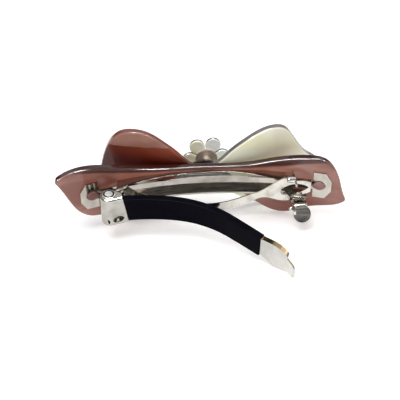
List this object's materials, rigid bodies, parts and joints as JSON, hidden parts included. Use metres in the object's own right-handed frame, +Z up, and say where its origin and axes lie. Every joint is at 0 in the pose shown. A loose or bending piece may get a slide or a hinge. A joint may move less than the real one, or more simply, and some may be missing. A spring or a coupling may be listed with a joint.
{
  "type": "barrette",
  "caption": "Bow-shaped acetate barrette with a pearl flower on its knot, on a sprung metal French clip with a hinged arm and thumb-lever catch.",
  "frame": {"origin": "centre of the bounding box's footprint, on the surface that the barrette stands on", "axes": "+X along the barrette from the hinge end to the catch end, +Y towards the decorative front, +Z up across the bow's width; the barrette stands on the lower edges of the bow wings and on the tip of its open arm, leaning 9.76 degrees towards the arm"},
  "size_m": [0.0928, 0.058, 0.0306],
  "materials": {
    "mauve_acetate": "polished acetate",
    "mauve_brown_acetate": "polished acetate, red-brown below and milky mauve above",
    "pearl_acetate": "polished, translucent, pearly",
    "dark_brown_acetate": "polished acetate",
    "pearl": "pearly",
    "stone": "faceted, clear",
    "nickel": "bright nickel plate",
    "spring_steel": "plated spring strip",
    "black_rubber": "smooth, faint sheen"
  },
  "bodies": {
    "clip": {"base_plate": "mauve_acetate", "wing_left": "mauve_brown_acetate", "wing_right": "pearl_acetate", "knot_cap": "dark_brown_acetate", "flower_seat": "nickel", "petal_1": "pearl", "petal_2": "pearl", "petal_3": "pearl", "petal_4": "pearl", "petal_5": "pearl", "petal_6": "pearl", "flower_stone": "stone", "clip_base": "nickel", "stake_left": "mauve_acetate", "stake_right": "mauve_acetate", "hinge_pin": "nickel", "tension_spring": "spring_steel", "catch_post": "nickel", "lever_pin": "nickel"},
    "arm": {"clasp_arm": "nickel", "arm_sleeve": "black_rubber"},
    "lever": {"catch_lever": "nickel"}
  },
  "joints": [
    {"name": "clasp_hinge", "type": "hinge", "parent": "clip", "child": "arm", "pos_m": [-0.0298, 0.00076, 0.01171], "axis": [0, -0.305, 0.9523], "range_deg": [-60, 24], "deforming": ["tension_spring"]},
    {"name": "catch_pivot", "type": "hinge", "parent": "clip", "child": "lever", "pos_m": [0.0291, 0.00876, 0.00887], "axis": [1, 0, 0], "range_deg": [0, 12], "stiffness_Nm_per_rad": 0.01}
  ]
}
